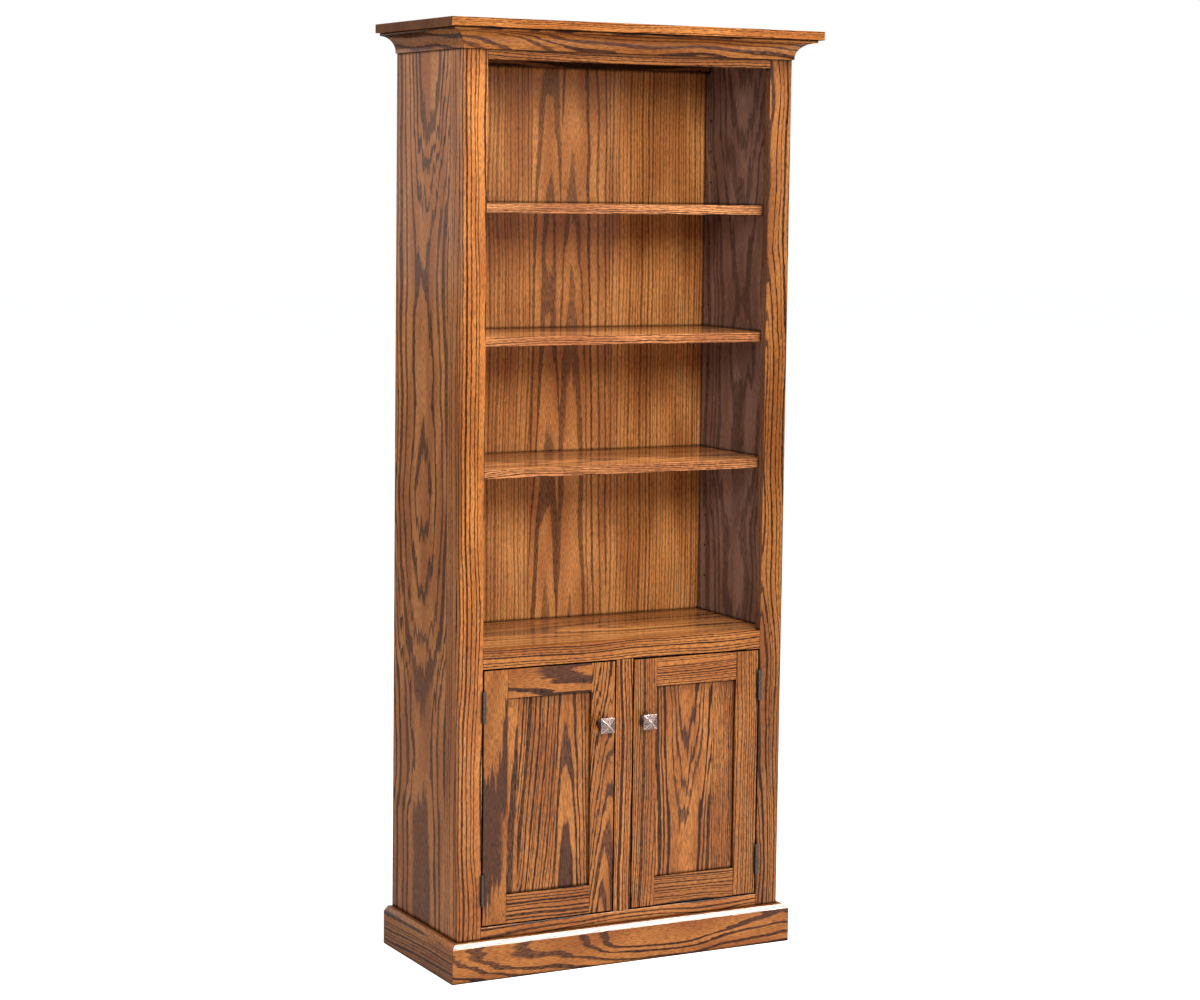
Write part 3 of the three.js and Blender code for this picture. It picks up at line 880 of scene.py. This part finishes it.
LEVELS = {
    "crown_front": 0.8,
    "base_front": 0.72,
    "rail_top": 0.82,
    "rail_middle": 0.8,
    "rail_bottom": 0.86,
    "centre_post": 0.94,
    "door_left_hinge_stile": 0.66,
    "door_left_rail_lower": 0.78,
    "door_right_rail_upper": 0.86,
    "door_right_hinge_stile": 0.66,
    "door_right_rail_lower": 0.69,
}
DOOR_LEVEL = 0.72


def toned_oak(name, board):
    """The oak of a board in the tables above, in its own tone."""
    level = LEVELS.get(name, DOOR_LEVEL if name.startswith("door") else 1.0)
    tone = TONES.get(name, {"shade": shaded(level)})
    return oak_material(f"oak_{name}", *board, **tone)


def dress_boards():
    crown = {}
    for name, board in BOARDS.items():
        materials = [toned_oak(name, board)]
        if name.startswith("crown"):
            crown[name] = materials
            continue
        if name in EDGINGS:
            materials.append(oak_material(f"oak_{name}_edge", *EDGINGS[name], **EDGING_TONE))
        ease = DOOR_EASE if name.startswith("door") else BOARD_EASE
        eased_board(name, ease, materials)
    add_crown(crown)
    for name, board in PLAIN_BOARDS.items():
        node = frame["nodes"][name]
        node.data.materials.clear()
        node.data.materials.append(toned_oak(name, board))


def metal_material(name, color, roughness, mottle, pitch):
    """Plated metal with a fine mottle in colour and roughness."""
    material, shader = new_material(name)
    grain = shader.noise(shader.object_place(pitch), detail=3.0)["Fac"]
    shade = tuple(channel * mottle for channel in color)
    tone = shader.mix(shader.smooth(grain, *TONE_RANGE), srgb(color), srgb(shade))
    rough = shader.smooth(grain, *WIDE_RANGE, *[roughness * share for share in METAL_SPREAD])
    shader.surface(tone, rough, shader.bump(grain, *METAL_BUMP), {"Metallic": 1.0})
    return material


def copper_material():
    """Hammered plating: dark patina in the hollows and down the neck, bright metal on spots and ridges."""
    material, shader = new_material("aged_copper")
    patch = shader.noise(shader.object_place(KNOB_SPOT * MM), detail=3.0, roughness=0.6)["Fac"]
    wear = shader.add("ShaderNodeAttribute", attribute_name="wear").outputs["Fac"]
    worn = shader.math("MULTIPLY_ADD", shader.centred(patch), WEAR_CONTRAST, wear)
    bright = shader.smooth(worn, *WORN_RANGE)
    color = shader.mix(bright, srgb(COPPER_DARK), srgb(COPPER_BRIGHT))
    rough = shader.math("MULTIPLY_ADD", bright, COPPER_POLISH, COPPER_ROUGHNESS)
    shader.surface(color, rough, shader.bump(patch, *COPPER_BUMP), {"Metallic": 1.0})
    return material


def plastic_material():
    """Moulded plastic with the fine pebble of its mould."""
    material, shader = new_material("brown_plastic")
    pebble = shader.noise(shader.object_place(MM))["Fac"]
    color = shader.mix(shader.smooth(pebble, *WIDE_RANGE), srgb(PLASTIC_DARK), srgb(PLASTIC_LIGHT))
    rough = shader.smooth(pebble, *WIDE_RANGE, *PLASTIC_ROUGHNESS)
    shader.surface(color, rough, shader.bump(pebble, *PLASTIC_BUMP), {})
    return material


FINISHES = {
    "hinge_metal": metal_material("gunmetal", GUNMETAL, roughness=0.34, mottle=0.62, pitch=1 / 900),
    "knob_metal": copper_material(),
    "nickel": metal_material("nickel_plate", NICKEL, roughness=0.25, mottle=0.85, pitch=1 / 700),
    "brown_plastic": plastic_material(),
}


def add_hardware(node, shape, style="detailed", smooth_below=35.0):
    """Ends a shape that was built in millimetres as the piece that stands for a CAD node."""
    moved(shape, Matrix.Scale(MM, 4))
    mesh = mesh_of(shape, f"{node}_{style}", smooth_below)
    return add_piece(node, mesh, [FINISHES[SLOTS[node]]])


def knuckle_span(i):
    """The lowest and highest point of a knuckle, counted from the hinge's foot."""
    pitch = HINGE_HEIGHT / KNUCKLES
    low = i * pitch + (0.0 if i == 0 else KNUCKLE_GAP / 2)
    high = (i + 1) * pitch - (0.0 if i == KNUCKLES - 1 else KNUCKLE_GAP / 2)
    return low, high


def hinge_leaf(towards, spans):
    """A leaf with rounded corners, tongues that reach into its knuckles, and three flush screws."""
    outline = rectangle((LEAF_START, 0.0), (LEAF_REACH, HINGE_HEIGHT))
    leaf = slab(softened(outline, LEAF_CORNER, loop=True), LEAF_NEAR, LEAF_FAR)
    upright = Matrix(((0, 0, towards, 0), (1, 0, 0, 0), (0, 1, 0, 0), (0, 0, 0, 1)))
    tongue_end = LEAF_START + LEAF_CORNER
    tongues = [block((0.0, low, LEAF_NEAR), (tongue_end, high, LEAF_FAR)) for low, high in spans]
    inner = HINGE_SCREW_RADIUS - RECESS_DEPTH
    groove = ring_profile(HINGE_SCREW_RADIUS, inner, -RECESS_DEPTH, RECESS_DEPTH / 2)
    cutters = []
    for height, depth in zip(HINGE_SCREW_HEIGHTS, HINGE_SCREW_DEPTHS):
        centre = Matrix.Translation((depth, height, LEAF_NEAR))
        cutters.append(moved(lathe(groove, SCREW_SIDES, loop=True), centre))
        cutters.append(cross_cutter(RECESS_WIDTH, HINGE_SCREW_RADIUS, RECESS_DEPTH, centre))
    leaf = combined(combined(leaf, "UNION", tongues), "DIFFERENCE", cutters)
    return outward(moved(leaf, upright))


def knuckle_profile(inner, low, high):
    """[radius, height] round a knuckle with eased rims."""
    rim = KNUCKLE_RIM
    below = [(BARREL_RADIUS - rim, low), (BARREL_RADIUS - rim / 3, low + rim / 3), (BARREL_RADIUS, low + rim)]
    above = [(radius, low + high - height) for radius, height in reversed(below)]
    return [(inner, low), *below, *above, (inner, high)]


def barrel_with_pin():
    """The frame's half of the barrel: three knuckles on one pin, with a button at each end."""
    profile = []
    for i in range(0, KNUCKLES, 2):
        profile += knuckle_profile(PIN_RADIUS, *knuckle_span(i))
    top = HINGE_HEIGHT
    neck = TIP_HEIGHT * TIP_NECK_SHARE
    button = [(TIP_NECK_RADIUS, neck), (TIP_RADIUS, neck), (TIP_RADIUS, TIP_HEIGHT), (0.0, TIP_HEIGHT)]
    button = softened(button, TIP_HEIGHT / 3)
    upper = [(TIP_NECK_RADIUS, top)] + [(radius, top + height) for radius, height in button]
    lower = [(radius, -height) for radius, height in reversed(button)] + [(TIP_NECK_RADIUS, 0.0)]
    return lathe(lower + profile[1:-1] + upper, BARREL_SIDES)


def add_hinges():
    spans = [knuckle_span(i) for i in range(KNUCKLES)]
    bore = shaft_profile((BORE_RADIUS, -1, HINGE_HEIGHT + 1))
    axes = {joint["name"]: joint["pos_m"] for joint in frame["joints"]}
    for side_name, side in SIDES.items():
        axis_x, axis_y, _ = axes[f"door_{side_name}_hinge"]
        for level in ("lower", "upper"):
            fixed = f"frame_{side_name}_hinge_{level}"
            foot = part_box(fixed)[0][2] / MM + TIP_HEIGHT
            place = Matrix.Translation((axis_x / MM, axis_y / MM, foot))
            half = combined(hinge_leaf(side, spans[0::2]), "UNION", [barrel_with_pin()])
            add_hardware(fixed, moved(half, place))
            moving = f"door_{side_name}_hinge_{level}_leaf"
            leaf = combined(hinge_leaf(-side, spans[1::2]), "DIFFERENCE", [lathe(bore)])
            rings = [knuckle_profile(BORE_RADIUS, *span) for span in spans[1::2]]
            half = combined(leaf, "UNION", [lathe(ring, BARREL_SIDES, loop=True) for ring in rings])
            add_hardware(moving, moved(half, place))


def knob_head():
    """A square band and a low pyramid, hammered all over, on a grid whose diagonals are the ridges."""
    shape = bmesh.new()
    half, steps = KNOB_HALF, KNOB_GRID
    grid = []
    for i in range(steps + 1):
        row = []
        for j in range(steps + 1):
            u = half * (2 * i / steps - 1)
            v = half * (2 * j / steps - 1)
            ridge = math.sqrt((abs(u) - abs(v)) ** 2 + KNOB_RIDGE**2)
            reach = min((abs(u) + abs(v) + ridge) / 2, half)
            row.append(shape.verts.new((u, v, KNOB_BAND + KNOB_PYRAMID * (1 - reach / half))))
        grid.append(row)
    for i in range(steps):
        for j in range(steps):
            corners = [grid[i][j], grid[i + 1][j], grid[i + 1][j + 1], grid[i][j + 1]]
            if i + j == steps - 1:
                halves = [(0, 1, 3), (1, 2, 3)]
            elif i == j:
                halves = [(0, 1, 2), (0, 2, 3)]
            else:
                halves = [range(4)]
            for picks in halves:
                shape.faces.new([corners[pick] for pick in picks])
    rim = [grid[i][0] for i in range(steps)] + [grid[steps][j] for j in range(steps)]
    rim += [grid[i][steps] for i in range(steps, 0, -1)] + [grid[0][j] for j in range(steps, 0, -1)]
    for level in (2, 1, 0):
        below = [shape.verts.new((vert.co.x, vert.co.y, KNOB_BAND * level / 3)) for vert in rim]
        for i, vert in enumerate(rim):
            j = (i + 1) % len(rim)
            shape.faces.new([vert, rim[j], below[j], below[i]])
        rim = below
    shape.faces.new(rim)
    ease_arrises(outward(shape), KNOB_EASE, segments=2, sharper_than=50.0)
    return shape


def hammered(shape, seed):
    """Sinks shallow dimples into a knob's head."""
    shape.normal_update()
    for vert in shape.verts:
        if vert.co.z < KNOB_BAND / 6:
            continue
        nearest = noise.voronoi(vert.co / KNOB_DIMPLE_PITCH + Vector((seed, 0, 0)))[0][0]
        vert.co -= vert.normal * KNOB_DIMPLE * max(0.0, 1.0 - KNOB_DIMPLE_SLOPE * nearest)
    return shape


def knob_wear(point):
    """How worn the plating is at a point of a knob: most on the pyramid's ridges and the band's upper rim."""
    u, v, height = abs(point.x), abs(point.y), point.z - KNOB_NECK
    ridge = abs(u - v) if height > KNOB_BAND else KNOB_HALF
    rim = abs(max(u, v) - KNOB_HALF) + abs(height - KNOB_BAND)
    facet = WEAR_FACET if height > KNOB_BAND / 2 else WEAR_NECK
    return max(0.0, 1.0 - min(ridge, rim)) * WEAR_RIDGE + facet


def add_knobs():
    bore_radius, bore_depth = KNOB_BORE
    inside = KNOB_NECK + KNOB_BAND / 2
    turned = [(bore_radius, 0.0), *NECK_TURNING, (NECK_TURNING[-1][0], inside)]
    turned = softened(turned, NECK_SOFTNESS, steps=5)
    neck_profile = [(0.0, bore_depth), (bore_radius, bore_depth), *turned, (0.0, inside)]
    for side_name, seed in KNOB_SEEDS.items():
        node = f"door_{side_name}_knob"
        _, high, middle = box_mm(node)
        foot = Matrix.Translation((middle.x, high.y, middle.z))
        head = moved(hammered(knob_head(), seed), Matrix.Translation((0, 0, KNOB_NECK)))
        shape = combined(head, "UNION", [lathe(neck_profile, NECK_SIDES)])
        wear = [knob_wear(vert.co) for vert in shape.verts]
        moved(shape, foot @ Matrix.Rotation(math.pi / 2, 4, "X"))
        piece = add_hardware(node, shape, "hammered", smooth_below=50.0)
        layer = piece.data.attributes.new("wear", "FLOAT", "POINT")
        layer.data.foreach_set("value", wear)


def add_knob_screws():
    head_radius, head_height = SCREW_HEAD
    for side_name in SIDES:
        node = f"door_{side_name}_knob_screw"
        low, high, middle = box_mm(node)
        length = high.y - low.y
        place = Matrix.Translation((middle.x, low.y, middle.z))
        shank_end = length - head_height
        profile = shaft_profile((SCREW_SHANK_RADIUS, 0.0, shank_end), (head_radius, shank_end, length))
        profile = softened(profile, head_height / 2)
        top = Matrix.Translation((0, 0, length))
        recess = cross_cutter(RECESS_WIDTH, head_radius, head_height / 2, top)
        shape = combined(lathe(profile), "DIFFERENCE", [recess])
        add_hardware(node, moved(shape, place @ Matrix.Rotation(-math.pi / 2, 4, "X")))


def spoon_pin(side):
    """A stud for the hole in the wall, a collar and a rounded paddle with its top at the stud's middle."""
    collar_face = -COLLAR_THICKNESS
    profile = shaft_profile((COLLAR_RADIUS, collar_face, 0.0), (STUD_RADIUS, 0.0, STUD_REACH))
    body = lathe(softened(profile, PIN_SOFTNESS), STUD_SIDES)
    moved(body, Matrix.Rotation(math.pi / 2, 4, "Y"))
    outline = rectangle((-PADDLE_REACH, -PADDLE_HALF), (collar_face / 2, PADDLE_HALF))
    paddle = slab(softened(outline, PADDLE_HALF / 2, loop=True), -PADDLE_THICKNESS, 0.0)
    ease_arrises(paddle, THIN_EASE, segments=2)
    shape = combined(body, "UNION", [paddle])
    return moved(shape, Matrix.Diagonal((side, 1, 1, 1)))


def add_shelf_pins():
    for side_name, side in SIDES.items():
        pin = spoon_pin(side)
        for node in frame["nodes"]:
            if not (node.startswith("shelf_pin") and side_name in node):
                continue
            low, high, middle = box_mm(node)
            stud_end = low.x if side < 0 else high.x
            place = Matrix.Translation((stud_end - side * STUD_REACH, middle.y, low.z + COLLAR_RADIUS))
            add_hardware(node, moved(pin.copy(), place))
        pin.free()


def add_catch():
    """The catch's case with eased edges, a screw slot each side of its middle and room cut for two poles in each
    arm.
    """
    node = "magnetic_catch"
    shape = cleaned_copy(node)
    moved(shape, Matrix.Scale(1 / MM, 4))
    ease_arrises(shape, CATCH_EASE, sharper_than=40.0)
    low, high, middle = box_mm(node)
    arm_front = low.y + CATCH_ARM_FRONT
    cutters = []
    for side in SIDES.values():
        for pole in (-1, 1):
            centre = Vector((middle.x + side * POLE_OUT, arm_front, middle.z + pole * POLE_UP))
            cutters.append(block(centre - POLE_HALF, centre + POLE_HALF))
        centre = Vector((middle.x + side * SLOT_OUT, high.y, middle.z))
        cutters.append(block(centre - SLOT_HALF, centre + SLOT_HALF))
    add_hardware(node, combined(shape, "DIFFERENCE", cutters))


def add_strikes():
    """The strike plates, each with rounded corners and a flush screw."""
    depth = STRIKE_SCREW_GROOVE
    groove = ring_profile(STRIKE_SCREW_RADIUS, STRIKE_SCREW_RADIUS - depth, -depth, depth)
    for side_name in SIDES:
        node = f"door_{side_name}_strike"
        low, high, middle = box_mm(node)
        corners = rectangle((low.x, low.z), (high.x, high.z))
        shape = slab(softened(corners, STRIKE_CORNER, loop=True), -high.y, -low.y)
        ease_arrises(shape, THIN_EASE, segments=2)
        centre = Matrix.Translation((middle.x, middle.z, -high.y))
        cutters = [moved(lathe(groove, SCREW_SIDES, loop=True), centre)]
        cutters.append(cross_cutter(RECESS_WIDTH, STRIKE_CROSS_REACH, RECESS_DEPTH, centre))
        shape = combined(shape, "DIFFERENCE", cutters)
        add_hardware(node, moved(shape, Matrix.Rotation(math.pi / 2, 4, "X")))


def crown_profile():
    """[reach from the case, height] round the crown: foot, cove and lip, with the cove a quarter ellipse."""
    low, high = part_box("crown_front")
    rise = (high[2] - low[2]) / MM
    reach = -low[1] / MM - CASE_FRONT
    back = -high[1] / MM - CASE_FRONT
    cove_reach = reach - CROWN_FOOT_REACH
    cove_rise = rise - CROWN_LIP - CROWN_FOOT
    profile = [(back, 0.0), (CROWN_FOOT_REACH, 0.0)]
    for i in range(COVE_STEPS + 1):
        angle = i / COVE_STEPS * math.pi / 2
        profile.append((reach - cove_reach * math.cos(angle), CROWN_FOOT + cove_rise * math.sin(angle)))
    profile += [(reach, rise), (back, rise)]
    return profile


def bridged(outlines):
    """A closed run between the outlines of its two ends."""
    shape = bmesh.new()
    first, last = [[shape.verts.new(point) for point in outline] for outline in outlines]
    for i in range(len(first)):
        j = (i + 1) % len(first)
        shape.faces.new([first[i], first[j], last[j], last[i]])
    shape.faces.new(first)
    shape.faces.new(last)
    return outward(shape)


def add_crown(materials):
    """The crown's three runs. The sides meet the front at the mitres, a seam behind it."""
    profile = crown_profile()
    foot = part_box("crown_front")[0][2] / MM
    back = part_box("crown_left")[1][1] / MM

    def mitred(side, seam):
        shift = seam - CASE_FRONT
        return [(side * (CASE_HALF + reach), shift - reach, foot + height) for reach, height in profile]

    runs = {"crown_front": [mitred(-1, 0.0), mitred(1, 0.0)]}
    for side_name, side in SIDES.items():
        start = mitred(side, CROWN_SEAM)
        runs[f"crown_{side_name}"] = [start, [(x, back, z) for x, _, z in start]]
    for node, outlines in runs.items():
        shape = bridged(outlines)
        ease_arrises(shape, BOARD_EASE / MM, sharper_than=40.0)
        moved(shape, Matrix.Scale(MM, 4))
        add_piece(node, mesh_of(shape, f"{node}_eased", smooth_below=25.0), materials[node])


def add_camera():
    flat = math.cos(CAMERA_PITCH)
    forward = Vector((-math.sin(CAMERA_YAW) * flat, math.cos(CAMERA_YAW) * flat, -math.sin(CAMERA_PITCH)))
    level = Vector((math.cos(CAMERA_YAW), math.sin(CAMERA_YAW), 0.0))
    upward = level.cross(forward)
    right = level * math.cos(CAMERA_ROLL) + upward * math.sin(CAMERA_ROLL)
    up = upward * math.cos(CAMERA_ROLL) - level * math.sin(CAMERA_ROLL)
    turn = Matrix((right, up, -forward)).transposed().to_4x4()
    lens = bpy.data.cameras.new("camera")
    lens.lens = CAMERA_LENS_MM
    lens.sensor_width = CAMERA_SENSOR_MM
    lens.shift_y = CAMERA_SHIFT_Y
    camera = new_object("camera", lens)
    camera.matrix_world = Matrix.Translation(CAMERA_TARGET - forward * CAMERA_DISTANCE) @ turn
    bpy.context.scene.camera = camera


def add_lamp(name, place, target, size, power, beam):
    light = bpy.data.lights.new(name, "AREA")
    light.shape = "RECTANGLE"
    light.size, light.size_y = size
    light.energy = power
    light.spread = math.radians(beam)
    lamp = new_object(name, light)
    lamp.location = place
    if target is not None:
        lamp.rotation_euler = (Vector(target) - Vector(place)).to_track_quat("-Z", "Y").to_euler()


def backdrop_ray(shader):
    """1 for the rays that should see a white studio, 0 for the ones that light the object."""
    rays = shader.add("ShaderNodeLightPath").outputs
    seen = shader.math("MAXIMUM", rays["Is Camera Ray"], rays["Is Glossy Ray"])
    return shader.math("MAXIMUM", seen, rays["Is Transmission Ray"])


def add_studio():
    world = bpy.data.worlds.new("studio")
    bpy.context.scene.world = world
    world.use_nodes = True
    shader = Shader(world.node_tree)
    seen = backdrop_ray(shader)
    strength = shader.blend(seen, WORLD_LEVEL, 1.0)
    color = shader.mix(seen, WORLD_COLOR, WHITE)
    sky = shader.add("ShaderNodeBackground", {"Color": color, "Strength": strength})
    shader.end_with(sky, "ShaderNodeOutputWorld")

    material, shader = new_material("studio_floor")
    to_camera = shader.add("ShaderNodeLightPath").outputs["Is Camera Ray"]
    diffuse = shader.add("ShaderNodeBsdfDiffuse", {"Color": FLOOR_COLOR})
    strength = shader.math("MULTIPLY", to_camera, FLOOR_GLOW)
    glow = shader.add("ShaderNodeEmission", {"Color": WHITE, "Strength": strength})
    shader.end_with(shader.add("ShaderNodeAddShader", {0: diffuse.outputs[0], 1: glow.outputs[0]}))

    shape = bmesh.new()
    bmesh.ops.create_grid(shape, x_segments=1, y_segments=1, size=FLOOR_HALF)
    floor = new_object("floor", mesh_of(shape, "floor"))
    floor.data.materials.append(material)

    for name, lamp in LAMPS.items():
        add_lamp(name, *lamp)
    bpy.context.scene.view_settings.view_transform = "Standard"


dress_boards()
add_hinges()
add_knobs()
add_knob_screws()
add_shelf_pins()
add_catch()
add_strikes()
add_camera()
add_studio()
